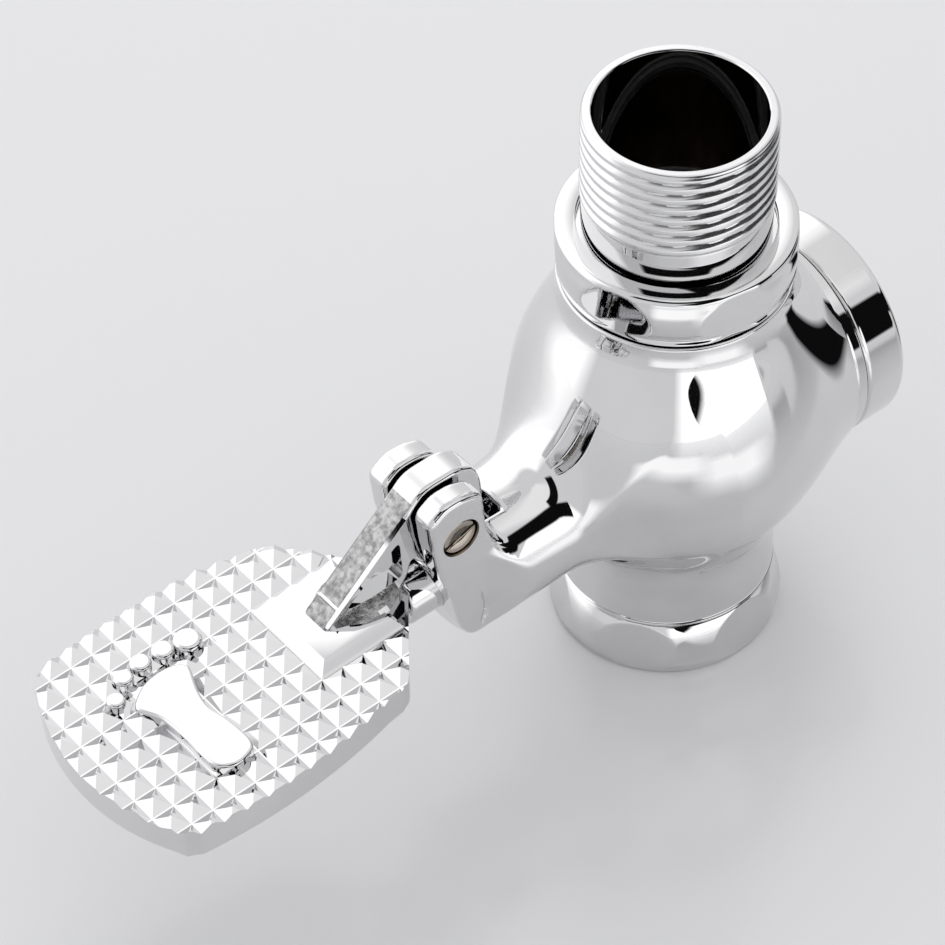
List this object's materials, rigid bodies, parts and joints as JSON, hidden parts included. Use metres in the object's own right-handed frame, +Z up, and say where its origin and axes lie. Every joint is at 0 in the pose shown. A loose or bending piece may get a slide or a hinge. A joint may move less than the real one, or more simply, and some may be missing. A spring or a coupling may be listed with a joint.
{
  "type": "foot-pedal flush valve",
  "caption": "Foot-pedal self-closing flush valve: globe body, threaded inlet on top, outlet coupling nut below, rear cap, and a hinged pedal that presses a push rod.",
  "frame": {"origin": "centre of the outlet nut's bottom face, on the vertical pipe axis", "axes": "+Z up along the pipe axis to the inlet, +Y towards the rear cap, -Y towards the pedal, +X towards the hinge pin's slotted head"},
  "size_m": [0.0574, 0.1657, 0.1188],
  "materials": {
    "polished_chrome": "mirror-polished chrome plate on brass",
    "cast_chrome": "bright chrome plate on a casting, rough on the arm's top",
    "brass": "machined brass",
    "rubber": "black moulded rubber",
    "slip_plastic": "plain off-white moulded plastic",
    "spring_steel": "drawn stainless steel wire"
  },
  "bodies": {
    "housing": {"valve_body": "polished_chrome", "inlet_tail": "polished_chrome", "inlet_union_nut": "polished_chrome", "inlet_washer": "rubber", "outlet_nut": "polished_chrome", "outlet_seal": "rubber", "outlet_slip_ring": "slip_plastic", "rear_cap": "polished_chrome", "cap_o_ring": "rubber", "seat_ring": "brass", "gland_nut": "brass", "rod_o_ring": "rubber", "hinge_pin": "brass", "piston_spring": "spring_steel", "pilot_spring": "spring_steel", "push_rod_spring": "spring_steel"},
    "pedal": {"foot_pedal": "cast_chrome"},
    "rod": {"push_rod": "polished_chrome", "rod_clip": "spring_steel"},
    "pilot": {"pilot_stem": "brass", "pilot_washer": "rubber", "pilot_nut": "brass"},
    "main_valve": {"piston": "brass", "piston_cup": "rubber", "seat_disc": "rubber", "disc_retainer": "brass"}
  },
  "joints": [
    {"name": "pedal_swing", "type": "hinge", "parent": "housing", "child": "pedal", "pos_m": [0, -0.0544, 0.0597], "axis": [1, 0, 0], "range_deg": [0, 15], "stiffness_Nm_per_rad": 0.62, "springref_deg": -34.38},
    {"name": "rod_slide", "type": "slide", "parent": "housing", "child": "rod", "axis": [0, 1, 0], "range_m": [0, 0.0047], "deforming": ["push_rod_spring"]},
    {"name": "pilot_slide", "type": "slide", "parent": "housing", "child": "pilot", "axis": [0, 1, 0], "range_m": [0, 0.0047], "deforming": ["pilot_spring"]},
    {"name": "piston_slide", "type": "slide", "parent": "housing", "child": "main_valve", "axis": [0, 1, 0], "range_m": [0, 0.0036], "deforming": ["piston_spring"]}
  ],
  "couplings": [
    {"joint": "rod_slide", "follows": "pedal_swing", "m_per_rad": 0.0176},
    {"joint": "pilot_slide", "follows": "pedal_swing", "m_per_rad": 0.0176},
    {"joint": "piston_slide", "follows": "pedal_swing", "m_per_rad": 0.0132}
  ]
}
